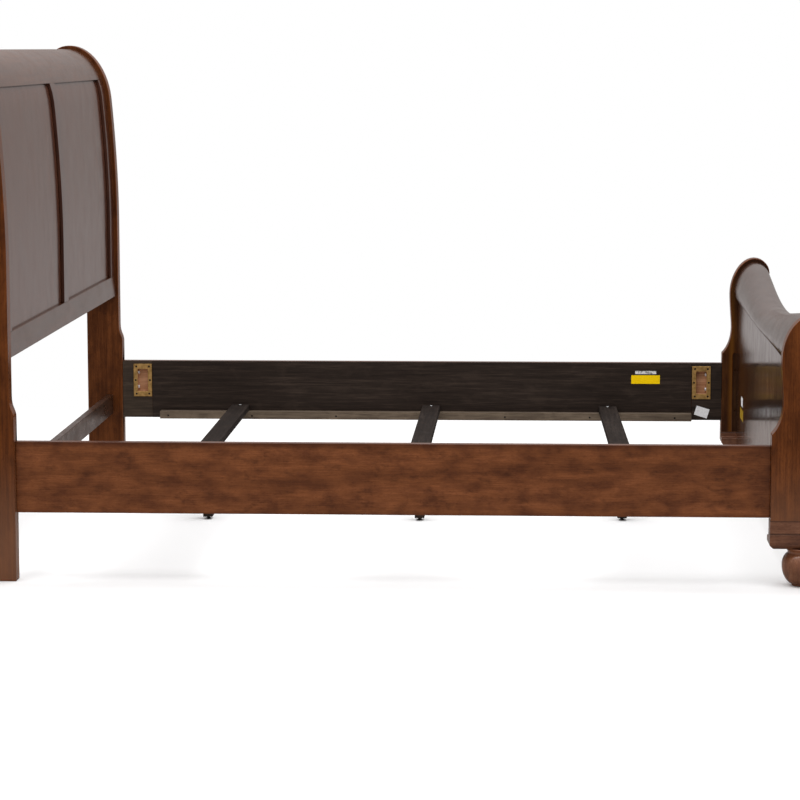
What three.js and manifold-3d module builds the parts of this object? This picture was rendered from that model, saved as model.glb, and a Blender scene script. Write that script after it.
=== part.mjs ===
// King-size sleigh bed frame, knock-down construction.
// Millimetres. +X runs from the headboard to the footboard, +Y across the bed, +Z up from the floor.
// Left pieces stand on the -Y side and right pieces on the +Y side.

import * as THREE from 'three';
import { mergeVertices } from 'three/addons/utils/BufferGeometryUtils.js';
import Module from 'manifold-3d';

const wasm = await Module();
wasm.setup();

// ---------------------------------------------------------------- driving dimensions
const gap = 0.3; // air left between pieces that touch
const railLength = 2083; // between the faces of the head and foot posts
const railSpan = 2020; // over the outer faces of the two side rails
const railThick = 27;
const railBottom = 190;
const railHeight = 199;
const railEndZone = 104; // plain stretch at each rail end, where the plates sit
const railEndRebate = 1.2; // that stretch lies this much behind the rail's inner face

const postThick = 50;
const postProud = 25; // the posts' outer faces stand this far outside the rails

const headHeight = 1479;
const headLegDepth = 123;
const headStepStart = 458; // where the leg's front starts to step back
const headStepEnd = 515;
const headStepBack = 12;
const headCurveStart = 885; // the front line is upright below this
const headRollRise = 180; // height of the roll above the leaning part
const headLeanBack = 33;
const headCurvePower = 1.8;
const headScrollRadius = 80;
const headScrollBack = 172; // from the leg's front face to the scroll's centre
const headScrollEndAngle = -50; // degrees below the horizontal

const frameSetback = 12; // headboard frame behind the posts' front line
const frameThick = 32;
const panelSetback = 10; // panels behind the frame's front
const panelThick = 12;
const grooveDepth = 8;
const centreStileWidth = 78;
const endStileWidth = 80;
const headRailBottom = 616;
const headRailHeight = 69;
const headRailFlare = 5; // the bottom rail's lower edge leans forward this much
const crestDrop = 116; // the crest rail's lower edge below the top
const crestThick = 34;
const stretcherBottom = 203;
const stretcherHeight = 66;
const stretcherThick = 22;
const stretcherSetback = 35.5;

const footHeight = 751.5;
const footPostDepth = 190;
const footStepDrop = 328.5; // the front's concave step starts this far below the top
const footStepRise = 89;
const footStepBack = 31.5;
const footFrontWaist = 25; // the front line's most forward point above the step
const footWaistDrop = 123.5;
const footScrollRadius = 51;
const footScrollBack = 107.5;
const footScrollEndAngle = -60;
const footNeckBack = 100; // the post's narrowest place, behind the scroll
const footNeckDrop = 181.5;
const footShoulderDrop = 351.5; // the rear edge is upright below this
const footCrestHeight = 146.5; // from the crest rail's lower edge to the posts' top
const footCrestSetback = 12;
const footCrestThick = 35;
const footCrestEndAngle = -50;
const footCrestDip = 62; // how far the crest is scooped at mid-width
const footCrestFlat = 120; // level stretch of the crest at each post
const footCrestDipPower = 0.6; // below 1 the scoop falls away sooner from its ends
const footCrestPull = 16; // the scooped roll also comes this much forward
const footCrestSteps = 30; // facets across the bed
const footCrestLap = 1.5; // the crest stands this far proud of the panel below it
const footPanelSetback = 50.5; // from the front face of the post's foot
const footPanelThick = 20;
const footBaseRailDepth = 58;
const recessDepth = 2.5; // shallow housing routed in the foot post's inner face
const recessFront = 37.5;
const recessBack = 76;
const recessRise = 35; // above the side rail's top
const recessCorner = 8;
const recessHoleRadius = 3;
const recessHoleDepth = 14;
const recessHoleBack = 45.5;
const recessHoleSpacing = 140;
const recessHoleRise = 5.5; // middle of the holes above the middle of the rail

const plinthBottom = 106.5;
const plinthTop = 147.6;
const plinthProud = 1.5; // beyond the post, front and back
const plinthOutset = 2; // beyond the post's outer face
const plinthWidth = 94;
const plinthChamfer = 10;
const plinthLedgeDrop = 14.6; // the part that runs in under the footboard sits this much lower
const bandHeight = 37.4;
const bandThick = 1.3;
const bunRadius = 59;
const bunNeckRadius = 43;
const bunPadRadius = 31;
const bunPadHeight = 6;
const bunWidest = 58; // height of the widest place
const bunCollar = 12;
const hangerBoltRadius = 4;
const hangerBoltEmbed = 35; // length in the foot, and again in the plinth

const cleatHeight = 26;
const cleatDepth = 36;
const cleatHeadEnd = 134; // from the head post's face to the cleat's end
const cleatFootEnd = 105;
const cleatHoleMargin = 162.5; // from the post's face to the first hole
const cleatHoleCount = 7;
const cleatHoleRadius = 3.5;
const slatWidth = 61.5;
const slatThick = 21;
const slatPlaces = [-628.6, 37, 664]; // centres along the rails
const slatSkews = [0, 0, -0.0166]; // run along the bed for each millimetre across it
const legPlaces = [[-629, 18], [37, 21], [671, 46]]; // screwed up near mid-width, set by eye
const legWidth = 30;
const legDepth = 44;
const legLift = 8; // underside of each leg above the floor

const plateWidth = 64;
const plateHeight = 114;
const plateThick = 2.5;
const plateFromPost = 70.5; // plate centre from the rail's end
const plateDrop = 68.5; // plate centre below the rail's top
const pocketWidth = 36;
const pocketHeight = 78;
const pocketFloor = 6.5; // wood left between the pocket and the rail's outer face
const plateScrewRadius = 2.2;
const boltRadius = 4;
const boltClearance = 0.5;
const boltHeadRadius = 6.5;
const boltHeadThick = 5.5;
const boltReach = 22; // past the post plate
const boltSpacing = 51;
const boltRise = 1.5; // middle of the bolts above the plate's centre
const boltInset = 14.5; // bolt axis from the rail's outer face
const postPlateThick = 3;
const postPlateWidth = 18;
const postPlateHeight = 100;

const insertRadius = 6;
const insertLength = 24;
const stemRadius = 4;
const stemLength = 34;
const stemFit = 0.35; // radial air between stem and insert
const collarFlats = 10;
const collarThick = 3.9;
const footPadRadius = 7;
const footPadHeight = 3.5;
const ballRadius = 3;
const padFloor = 1.2;

// ---------------------------------------------------------------- derived places
const halfLength = railLength / 2;
const railOuter = railSpan / 2;
const railInner = railOuter - railThick;
const railEndInner = railInner + railEndRebate;
const postOuter = railOuter + postProud;
const postInner = postOuter - postThick;
const betweenPosts = postInner - gap;
const railTop = railBottom + railHeight;
const headCurveEnd = headHeight - headRollRise;
const crestBottom = headHeight - crestDrop;
const footStepStart = footHeight - footStepDrop;
const footStepEnd = footStepStart + footStepRise;
const footWaistHeight = footHeight - footWaistDrop;
const footNeckHeight = footHeight - footNeckDrop;
const footShoulderHeight = footHeight - footShoulderDrop;
const footCrestBottom = footHeight - footCrestHeight;
const recessTop = railTop + recessRise;
const recessHoleMiddle = railBottom + railHeight / 2 + recessHoleRise;
const recessHoleHeights = [
  recessHoleMiddle - recessHoleSpacing / 2,
  recessHoleMiddle + recessHoleSpacing / 2,
];
const bandTop = plinthTop + bandHeight;
const cleatHolePitch = (railLength - 2 * cleatHoleMargin) / (cleatHoleCount - 1);
const plateCentreHeight = railTop - plateDrop;
const boltMiddle = plateCentreHeight + boltRise;
const boltHeights = [boltMiddle - boltSpacing / 2, boltMiddle + boltSpacing / 2];
const slatBottom = railBottom + cleatHeight + gap;
const slatTop = slatBottom + slatThick;
const boltAxis = railOuter - boltInset;
const pocketInner = railOuter - pocketFloor;
const plinthOuter = postOuter + plinthOutset;
const plinthInner = plinthOuter - plinthWidth;
const bunAxis = (plinthOuter + plinthInner) / 2;
const bunBack = footPostDepth / 2;
const headRailTop = headRailBottom + headRailHeight;
const headBack = headScrollBack + headScrollRadius;
const footBack = footPostDepth + plinthProud;

const sides = [['left', -1], ['right', 1]];
const ends = [['head', -1], ['foot', 1]];

// ---------------------------------------------------------------- materials
const stainedWood = new THREE.MeshStandardMaterial({ color: 0x6b4028, roughness: 0.32 });
const veneer = new THREE.MeshStandardMaterial({ color: 0x74503d, roughness: 0.28 });
const darkStain = new THREE.MeshStandardMaterial({ color: 0x3a2f29, roughness: 0.5 });
const brassPlated = new THREE.MeshStandardMaterial({ color: 0x9a7438, roughness: 0.35, metalness: 1 });
const zincSteel = new THREE.MeshStandardMaterial({ color: 0xb9bcc0, roughness: 0.3, metalness: 1 });
const blackZinc = new THREE.MeshStandardMaterial({ color: 0x1d1d20, roughness: 0.4, metalness: 1 });
const blackPlastic = new THREE.MeshStandardMaterial({ color: 0x18181a, roughness: 0.55 });

// ---------------------------------------------------------------- helpers
const bed = new THREE.Group();
bed.name = 'sleigh_bed';

function addPiece(name, geometry, material) {
  const mesh = new THREE.Mesh(geometry, material);
  mesh.name = name;
  bed.add(mesh);
}

function toManifold(geometry) {
  const bare = geometry.index ? geometry.toNonIndexed() : geometry.clone();
  for (const attribute of Object.keys(bare.attributes)) {
    if (attribute !== 'position') bare.deleteAttribute(attribute);
  }
  const merged = mergeVertices(bare, 1e-3);
  return new wasm.Manifold(new wasm.Mesh({
    numProp: 3,
    vertProperties: new Float32Array(merged.attributes.position.array),
    triVerts: new Uint32Array(merged.index.array),
  }));
}

function toGeometry(manifold) {
  const { vertProperties, triVerts } = manifold.getMesh();
  const geometry = new THREE.BufferGeometry();
  geometry.setAttribute('position', new THREE.BufferAttribute(vertProperties, 3));
  geometry.setIndex(new THREE.BufferAttribute(triVerts, 1));
  return geometry;
}

function cut(geometry, tools) {
  return toGeometry(tools.reduce((body, tool) => body.subtract(toManifold(tool)), toManifold(geometry)));
}

function join(geometries) {
  return toGeometry(geometries.map(toManifold).reduce((body, next) => body.add(next)));
}

function block(x0, x1, y0, y1, z0, z1) {
  const box = new THREE.BoxGeometry(Math.abs(x1 - x0), Math.abs(y1 - y0), Math.abs(z1 - z0));
  return box.translate((x0 + x1) / 2, (y0 + y1) / 2, (z0 + z1) / 2);
}

// a cylinder along X, Y or Z, centred on the given point
function rod(axis, radius, length, x, y, z, segments = 16) {
  const cylinder = new THREE.CylinderGeometry(radius, radius, length, segments);
  if (axis === 'X') cylinder.rotateZ(Math.PI / 2);
  if (axis === 'Z') cylinder.rotateX(Math.PI / 2);
  return cylinder.translate(x, y, z);
}

// extrudes an outline in X and Z from y0 to y1
function acrossBed(outline, y0, y1, steps = 1) {
  const depth = Math.abs(y1 - y0);
  const geometry = new THREE.ExtrudeGeometry(new THREE.Shape(outline), { depth, steps, bevelEnabled: false });
  return geometry.rotateX(Math.PI / 2).translate(0, Math.max(y0, y1), 0);
}

// extrudes an outline in Y and Z from x0 to x1
function alongBed(outline, x0, x1) {
  const geometry = new THREE.ExtrudeGeometry(new THREE.Shape(outline), { depth: x1 - x0, bevelEnabled: false });
  const turn = new THREE.Matrix4().makeBasis(
    new THREE.Vector3(0, 1, 0),
    new THREE.Vector3(0, 0, 1),
    new THREE.Vector3(1, 0, 0),
  );
  return geometry.applyMatrix4(turn).translate(x0, 0, 0);
}

// outlines are drawn as (distance behind the post's front face, height), then placed at either end
function atEnd(end, points) {
  return points.map((point) => new THREE.Vector2(end * (halfLength + point.x), point.y));
}

function p(back, height) {
  return new THREE.Vector2(back, height);
}

function bezier(a, b, c, d, divisions) {
  return new THREE.CubicBezierCurve(a, b, c, d).getPoints(divisions);
}

// clockwise arc, angles in degrees from the horizontal
function arc(centre, radius, from, to, divisions) {
  const points = [];
  for (let i = 0; i <= divisions; i += 1) {
    const angle = THREE.MathUtils.degToRad(from + ((to - from) * i) / divisions);
    points.push(p(centre.x + radius * Math.cos(angle), centre.y + radius * Math.sin(angle)));
  }
  return points;
}

// moves each point of an open line to its right-hand side
function offsetLine(points, distance) {
  return points.map((point, i) => {
    const before = points[Math.max(i - 1, 0)];
    const after = points[Math.min(i + 1, points.length - 1)];
    const along = after.clone().sub(before).normalize();
    return p(point.x + along.y * distance, point.y - along.x * distance);
  });
}

function withoutRepeats(points) {
  return points.filter((point, i) => i === 0 || point.distanceTo(points[i - 1]) > 0.05);
}

// ---------------------------------------------------------------- headboard profile
function headLean(height) {
  const share = THREE.MathUtils.clamp((height - headCurveStart) / (headCurveEnd - headCurveStart), 0, 1);
  return headStepBack + (headLeanBack - headStepBack) * share ** headCurvePower;
}

const headStep = bezier(
  p(0, headStepStart),
  p(1, headStepStart + 22),
  p(headStepBack, headStepStart + 22),
  p(headStepBack, headStepEnd),
  8,
);
const headUpright = [];
for (let i = 0; i <= 8; i += 1) {
  const height = THREE.MathUtils.lerp(headCurveStart, headCurveEnd, i / 8);
  headUpright.push(p(headLean(height), height));
}
const headScrollCentre = p(headScrollBack, headHeight - headScrollRadius);
const headRoll = withoutRepeats([
  ...bezier(
    p(headLeanBack, headCurveEnd),
    p(headLeanBack + 10, headCurveEnd + 100),
    p(headScrollBack - 70, headHeight),
    p(headScrollBack, headHeight),
    14,
  ),
  ...arc(headScrollCentre, headScrollRadius, 90, headScrollEndAngle, 16),
]);
const headFrontLine = withoutRepeats([
  p(headStepBack, headStepEnd),
  ...headUpright,
  ...headRoll.filter((point) => point.x <= headScrollBack),
]);

// where the posts' front line is at a height, for the pieces that follow it
function headFrontAt(height) {
  const above = headFrontLine.findIndex((point) => point.y >= height);
  const high = headFrontLine[above];
  const low = headFrontLine[above - 1];
  return THREE.MathUtils.mapLinear(height, low.y, high.y, low.x, high.x);
}

// a board that follows the front line, between two heights and two depths behind it
function headStrip(z0, z1, near, far) {
  const divisions = 24;
  const front = [];
  const back = [];
  for (let i = 0; i <= divisions; i += 1) {
    const height = THREE.MathUtils.lerp(z0, z1, i / divisions);
    front.push(p(headFrontAt(height) + near, height));
    back.unshift(p(headFrontAt(height) + far, height));
  }
  return [...front, ...back];
}

function headPostOutline() {
  const scrollEnd = headRoll[headRoll.length - 1];
  return withoutRepeats([
    p(0, 0),
    ...headStep,
    ...headUpright,
    ...headRoll,
    ...bezier(
      scrollEnd,
      p(scrollEnd.x - 38, scrollEnd.y - 32),
      p(headLegDepth - 5, scrollEnd.y - 78),
      p(headLegDepth - 19, scrollEnd.y - 208),
      12,
    ),
    ...bezier(
      p(headLegDepth - 25, headCurveStart + 15),
      p(headLegDepth - 26, headCurveStart - 120),
      p(headLegDepth, headStepEnd + 200),
      p(headLegDepth, headStepEnd + 85),
      10,
    ),
    p(headLegDepth, 0),
  ]);
}

// ---------------------------------------------------------------- joints between rails and posts
function postJointTools(end, side) {
  const face = end * halfLength;
  const y = side * boltAxis;
  const reach = postPlateThick + boltReach + 3;
  const tools = [block(
    face - end,
    face + end * (postPlateThick + gap),
    y - postPlateWidth / 2 - gap,
    y + postPlateWidth / 2 + gap,
    boltMiddle - postPlateHeight / 2 - gap,
    boltMiddle + postPlateHeight / 2 + gap,
  )];
  for (const height of boltHeights) {
    tools.push(rod('X', boltRadius + boltClearance, reach, face + (end * reach) / 2, y, height));
  }
  return tools;
}

// ---------------------------------------------------------------- headboard
function buildHeadPosts() {
  for (const [sideName, side] of sides) {
    const blank = acrossBed(atEnd(-1, headPostOutline()), side * postInner, side * postOuter);
    addPiece(`headboard_post_${sideName}`, cut(blank, postJointTools(-1, side)), stainedWood);
  }
}

function buildHeadFrame() {
  const nearDepth = frameSetback + panelSetback;
  const farDepth = nearDepth + panelThick;
  const frameBack = frameSetback + frameThick;
  const grooveSection = atEnd(-1, headStrip(
    headRailTop - grooveDepth - gap,
    crestBottom + grooveDepth + gap,
    nearDepth - gap,
    farDepth + gap,
  ));
  const stileSection = atEnd(-1, headStrip(headRailTop + gap, crestBottom - gap, frameSetback, frameBack));
  const panelSection = atEnd(-1, headStrip(
    headRailTop - grooveDepth,
    crestBottom + grooveDepth,
    nearDepth,
    farDepth,
  ));

  for (const [sideName, side] of sides) {
    const stileEdge = betweenPosts - endStileWidth;
    const centreEdge = centreStileWidth / 2;
    const groove = acrossBed(
      grooveSection,
      side * (centreEdge - grooveDepth - gap),
      side * (stileEdge + grooveDepth + gap),
    );
    const stile = acrossBed(stileSection, side * stileEdge, side * betweenPosts);
    addPiece(`headboard_end_stile_${sideName}`, cut(stile, [groove]), stainedWood);
    const panel = acrossBed(
      panelSection,
      side * (centreEdge - grooveDepth),
      side * (stileEdge + grooveDepth),
    );
    addPiece(`headboard_panel_${sideName}`, panel, veneer);
  }

  const grooves = sides.map(([, side]) => acrossBed(
    grooveSection,
    side * (centreStileWidth / 2 - grooveDepth - gap),
    side * (betweenPosts - endStileWidth + grooveDepth + gap),
  ));
  const centre = acrossBed(stileSection, -centreStileWidth / 2, centreStileWidth / 2);
  addPiece('headboard_centre_stile', cut(centre, grooves), stainedWood);

  const railFace = headStepBack + frameSetback;
  const railSection = atEnd(-1, [
    p(railFace - headRailFlare, headRailBottom),
    p(railFace, headRailTop),
    p(railFace + frameThick, headRailTop),
    p(railFace + frameThick, headRailBottom),
  ]);
  const rail = acrossBed(railSection, -betweenPosts, betweenPosts);
  addPiece('headboard_bottom_rail', cut(rail, grooves), stainedWood);

  const crestSection = [
    ...offsetLine(headRoll, frameSetback),
    ...offsetLine(headRoll, frameSetback + crestThick).reverse(),
  ];
  const crest = acrossBed(atEnd(-1, crestSection), -betweenPosts, betweenPosts);
  const below = block(
    -halfLength,
    -halfLength - headScrollBack,
    -postOuter,
    postOuter,
    headRailTop,
    crestBottom,
  );
  addPiece('headboard_crest_rail', cut(crest, [below, ...grooves]), veneer);

  addPiece('headboard_stretcher', block(
    -halfLength - stretcherSetback,
    -halfLength - stretcherSetback - stretcherThick,
    -betweenPosts,
    betweenPosts,
    stretcherBottom,
    stretcherBottom + stretcherHeight,
  ), darkStain);
}

// ---------------------------------------------------------------- footboard
const footScrollCentre = p(footScrollBack, footHeight - footScrollRadius);
const footRollFront = bezier(
  p(footFrontWaist, footWaistHeight),
  p(footFrontWaist, footWaistHeight + 62),
  p(footScrollBack - 45.5, footHeight),
  p(footScrollBack, footHeight),
  12,
);

function footPostOutline() {
  const scroll = arc(footScrollCentre, footScrollRadius, 90, footScrollEndAngle, 12);
  const scrollEnd = scroll[scroll.length - 1];
  const foot = plinthTop + gap;
  return withoutRepeats([
    p(0, foot),
    ...bezier(
      p(0, footStepStart),
      p(footStepBack / 2, footStepStart + 14),
      p(footStepBack, footStepEnd - 44),
      p(footStepBack, footStepEnd),
      10,
    ),
    ...bezier(
      p(footStepBack, footStepEnd),
      p(footStepBack, footStepEnd + 24),
      p(footFrontWaist, footWaistHeight - 38),
      p(footFrontWaist, footWaistHeight),
      6,
    ),
    ...footRollFront,
    ...scroll,
    ...bezier(
      scrollEnd,
      p(scrollEnd.x - 26, scrollEnd.y - 15),
      p(footNeckBack - 3, footNeckHeight + 40),
      p(footNeckBack, footNeckHeight),
      8,
    ),
    ...bezier(
      p(footNeckBack, footNeckHeight),
      p(footNeckBack + 3, footNeckHeight - 60),
      p(footPostDepth, footShoulderHeight + 100),
      p(footPostDepth, footShoulderHeight),
      10,
    ),
    p(footPostDepth, foot),
  ]);
}

// routed housing with one round upper corner and two blind holes, cut from the inner face
function footRecessTools(side) {
  const corner = p(recessFront + recessCorner, recessTop - recessCorner);
  const outline = [
    p(recessFront, plinthTop - 1),
    ...arc(corner, recessCorner, 180, 90, 6),
    p(recessBack, recessTop),
    p(recessBack, plinthTop - 1),
  ];
  const tools = [acrossBed(atEnd(1, outline), side * (postInner - 1), side * (postInner + recessDepth))];
  const deep = recessDepth + recessHoleDepth;
  for (const height of recessHoleHeights) {
    tools.push(rod(
      'Y',
      recessHoleRadius,
      deep,
      halfLength + recessHoleBack,
      side * (postInner + deep / 2),
      height,
    ));
  }
  return tools;
}

function buildFootPosts() {
  for (const [sideName, side] of sides) {
    const blank = acrossBed(atEnd(1, footPostOutline()), side * postInner, side * postOuter);
    const tools = [...postJointTools(1, side), ...footRecessTools(side)];
    addPiece(`footboard_post_${sideName}`, cut(blank, tools), stainedWood);
  }
}

// how far the footboard's crest is scooped at a place across the bed
function crestDip(y) {
  const reach = postInner - footCrestFlat;
  const share = Math.min(Math.abs(y) / reach, 1);
  return footCrestDip * ((1 + Math.cos(Math.PI * share)) / 2) ** footCrestDipPower;
}

function buildFootCrest() {
  const seatBack = footPanelSetback - footCrestLap;
  const rollBack = arc(footScrollCentre, footScrollRadius - footCrestSetback, 90, footCrestEndAngle, 9);
  const rollFront = offsetLine(footRollFront, footCrestSetback).filter((point) => (
    point.y > footWaistHeight + 8 && point.x < footScrollBack - 2
  ));
  const rollEnd = rollBack[rollBack.length - 1];
  const section = withoutRepeats([
    ...bezier(
      p(seatBack, footCrestBottom),
      p(seatBack - 3, footCrestBottom + 10),
      p(footFrontWaist + footCrestSetback, footWaistHeight - 10),
      rollFront[0],
      3,
    ),
    ...rollFront,
    ...rollBack,
    ...bezier(
      rollEnd,
      p(rollEnd.x - 26, rollEnd.y - 14),
      p(seatBack + footCrestThick, rollEnd.y - 28),
      p(seatBack + footCrestThick, footCrestBottom),
      4,
    ),
  ]);
  const crest = acrossBed(atEnd(1, section), -betweenPosts, betweenPosts, footCrestSteps);
  const place = crest.attributes.position;
  const rise = footHeight - footCrestSetback - footCrestBottom;
  for (let i = 0; i < place.count; i += 1) {
    const dip = crestDip(place.getY(i));
    const above = place.getZ(i) - footCrestBottom;
    place.setX(i, place.getX(i) - (footCrestPull * dip * above) / (footCrestDip * rise));
    place.setZ(i, footCrestBottom + above * (1 - dip / rise));
  }
  addPiece('footboard_crest_rail', crest, veneer);
}

function buildFootPanel() {
  const face = halfLength + footPanelSetback;
  addPiece('footboard_panel', block(
    face,
    face + footPanelThick,
    -betweenPosts,
    betweenPosts,
    plinthTop + gap,
    footCrestBottom - gap,
  ), veneer);
  addPiece('footboard_base_rail', block(
    face,
    face + footBaseRailDepth,
    -plinthInner + gap,
    plinthInner - gap,
    plinthBottom,
    plinthTop,
  ), stainedWood);
}

// block under the post, with its lower front, rear and outer edges bevelled
function plinthBlock(side) {
  const x0 = halfLength - plinthProud;
  const x1 = halfLength + footBack;
  const bevelTop = plinthBottom + plinthChamfer;
  const whole = acrossBed([
    p(x0, plinthTop),
    p(x0, bevelTop),
    p(x0 + plinthChamfer, plinthBottom),
    p(x1 - plinthChamfer, plinthBottom),
    p(x1, bevelTop),
    p(x1, plinthTop),
  ], side * plinthInner, side * plinthOuter);
  const bevel = alongBed([
    p(side * (plinthOuter + 1), plinthBottom - 1),
    p(side * (plinthOuter + 1), bevelTop + 1),
    p(side * (plinthOuter - plinthChamfer - 1), plinthBottom - 1),
  ], x0 - 1, x1 + 1);
  const ledge = block(
    x0 - 1,
    halfLength + footPanelSetback - gap,
    side * (plinthInner - 1),
    side * (postInner - gap),
    plinthTop - plinthLedgeDrop,
    plinthTop + 1,
  );
  return cut(whole, [bevel, ledge]);
}

function buildPlinths() {
  for (const [sideName, side] of sides) {
    const x = halfLength + bunBack;
    const y = side * bunAxis;
    const hole = rod('Z', hangerBoltRadius + gap, hangerBoltEmbed, x, y, plinthBottom + hangerBoltEmbed / 2);
    addPiece(`footboard_plinth_${sideName}`, cut(plinthBlock(side), [hole]), stainedWood);

    // flat band round the post's base: one U-shaped strip over its front, outer and rear faces
    const ring = block(
      halfLength - bandThick,
      halfLength + footPostDepth + bandThick,
      side * postInner,
      side * (postOuter + bandThick),
      plinthTop + gap,
      bandTop,
    );
    const room = block(
      halfLength - gap,
      halfLength + footPostDepth + gap,
      side * (postInner - 1),
      side * (postOuter + gap),
      plinthTop,
      bandTop + 1,
    );
    addPiece(`footboard_base_band_${sideName}`, cut(ring, [room]), stainedWood);
  }
}

function buildBunFeet() {
  const top = plinthBottom - gap;
  const collar = top - bunCollar;
  const profile = [
    new THREE.Vector2(0, 0),
    new THREE.Vector2(bunPadRadius - 1, 0),
    new THREE.Vector2(bunPadRadius, 1),
    new THREE.Vector2(bunPadRadius, bunPadHeight),
    new THREE.Vector2(bunPadRadius + 3, bunPadHeight + 1),
    ...new THREE.CubicBezierCurve(
      new THREE.Vector2(bunPadRadius + 3, bunPadHeight + 1),
      new THREE.Vector2(bunRadius - 8, bunPadHeight + 14),
      new THREE.Vector2(bunRadius, bunWidest - 18),
      new THREE.Vector2(bunRadius, bunWidest),
    ).getPoints(6).slice(1),
    ...new THREE.CubicBezierCurve(
      new THREE.Vector2(bunRadius, bunWidest),
      new THREE.Vector2(bunRadius, bunWidest + 16),
      new THREE.Vector2(bunNeckRadius + 9, collar - 6),
      new THREE.Vector2(bunNeckRadius, collar - 3),
    ).getPoints(5).slice(1),
    new THREE.Vector2(bunNeckRadius, collar),
    new THREE.Vector2(bunNeckRadius + 10, top),
    new THREE.Vector2(0, top),
  ];
  for (const [sideName, side] of sides) {
    const x = halfLength + bunBack;
    const y = side * bunAxis;
    const foot = new THREE.LatheGeometry(profile, 28).rotateX(Math.PI / 2).translate(x, y, 0);
    const hole = rod(
      'Z',
      hangerBoltRadius + gap,
      hangerBoltEmbed + 2,
      x,
      y,
      top - hangerBoltEmbed / 2 + 1,
    );
    addPiece(`bun_foot_${sideName}`, cut(foot, [hole]), stainedWood);
    const length = 2 * hangerBoltEmbed - 2;
    addPiece(
      `bun_foot_hanger_bolt_${sideName}`,
      rod('Z', hangerBoltRadius, length, x, y, plinthBottom - gap / 2),
      zincSteel,
    );
  }
}

// ---------------------------------------------------------------- side rails
function buildRails() {
  for (const [sideName, side] of sides) {
    const rail = block(
      -halfLength + gap,
      halfLength - gap,
      side * railInner,
      side * railOuter,
      railBottom,
      railTop,
    );
    const tools = [];
    for (const [, end] of ends) {
      const face = end * halfLength;
      const plateX = face - end * plateFromPost;
      tools.push(block(
        face - end * railEndZone,
        face + end,
        side * (railInner - 1),
        side * railEndInner,
        railBottom - 1,
        railTop + 1,
      ));
      tools.push(block(
        plateX - pocketWidth / 2,
        plateX + pocketWidth / 2,
        side * (railInner - 1),
        side * pocketInner,
        plateCentreHeight - pocketHeight / 2,
        plateCentreHeight + pocketHeight / 2,
      ));
      for (const height of boltHeights) {
        const length = plateFromPost;
        tools.push(rod(
          'X',
          boltRadius + boltClearance,
          length,
          face - end * (length / 2 - 1),
          side * boltAxis,
          height,
        ));
      }
    }
    addPiece(`side_rail_${sideName}`, cut(rail, tools), stainedWood);

    const cleatOuter = railInner - gap;
    const cleat = block(
      -halfLength + cleatHeadEnd,
      halfLength - cleatFootEnd,
      side * (cleatOuter - cleatDepth),
      side * cleatOuter,
      railBottom,
      railBottom + cleatHeight,
    );
    const holes = [];
    for (let i = 0; i < cleatHoleCount; i += 1) {
      const x = (i - (cleatHoleCount - 1) / 2) * cleatHolePitch;
      holes.push(rod(
        'Y',
        cleatHoleRadius,
        12,
        x,
        side * (cleatOuter - cleatDepth + 5),
        railBottom + cleatHeight / 2 - 2,
        12,
      ));
    }
    addPiece(`slat_cleat_${sideName}`, cut(cleat, holes), darkStain);
  }
}

function buildRailHardware() {
  for (const [sideName, side] of sides) {
    for (const [endName, end] of ends) {
      const face = end * halfLength;
      const plateX = face - end * plateFromPost;
      const seat = railEndInner - gap;
      const plate = block(
        plateX - plateWidth / 2,
        plateX + plateWidth / 2,
        side * (seat - plateThick),
        side * seat,
        plateCentreHeight - plateHeight / 2,
        plateCentreHeight + plateHeight / 2,
      );
      const opening = block(
        plateX - pocketWidth / 2,
        plateX + pocketWidth / 2,
        side * (seat - plateThick - 1),
        side * (seat + 1),
        plateCentreHeight - pocketHeight / 2,
        plateCentreHeight + pocketHeight / 2,
      );
      const holes = [];
      for (const [across, up] of plateScrewPlaces()) {
        holes.push(rod(
          'Y',
          plateScrewRadius,
          plateThick + 2,
          plateX + across,
          side * (seat - plateThick / 2),
          plateCentreHeight + up,
          12,
        ));
      }
      addPiece(`rail_plate_${endName}_${sideName}`, cut(plate, [opening, ...holes]), brassPlated);

      const postPlate = block(
        face + end * gap,
        face + end * postPlateThick,
        side * boltAxis - postPlateWidth / 2,
        side * boltAxis + postPlateWidth / 2,
        boltMiddle - postPlateHeight / 2,
        boltMiddle + postPlateHeight / 2,
      );
      const threads = boltHeights.map((height) => (
        rod('X', boltRadius + gap, 12, face, side * boltAxis, height)
      ));
      addPiece(`post_plate_${endName}_${sideName}`, cut(postPlate, threads), zincSteel);

      ['lower', 'upper'].forEach((level, i) => {
        const wall = plateX + end * (pocketWidth / 2 - gap);
        const headEnd = wall - end * boltHeadThick;
        const tip = face + end * (postPlateThick + boltReach);
        const head = rod(
          'X',
          boltHeadRadius,
          boltHeadThick,
          (wall + headEnd) / 2,
          side * boltAxis,
          boltHeights[i],
          6,
        );
        const shank = rod(
          'X',
          boltRadius,
          Math.abs(tip - headEnd) - 1,
          (tip + headEnd + end) / 2,
          side * boltAxis,
          boltHeights[i],
        );
        addPiece(`bed_bolt_${endName}_${sideName}_${level}`, join([head, shank]), zincSteel);
      });
    }
  }
}

// six screw holes round the plate's opening: four corners and one half-way up each side
function plateScrewPlaces() {
  const across = (plateWidth + pocketWidth) / 4;
  const up = (plateHeight + pocketHeight) / 4;
  return [
    [-across + 3, up], [across - 3, up],
    [-across, 0], [across, 0],
    [-across + 3, -up], [across - 3, -up],
  ];
}

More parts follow.
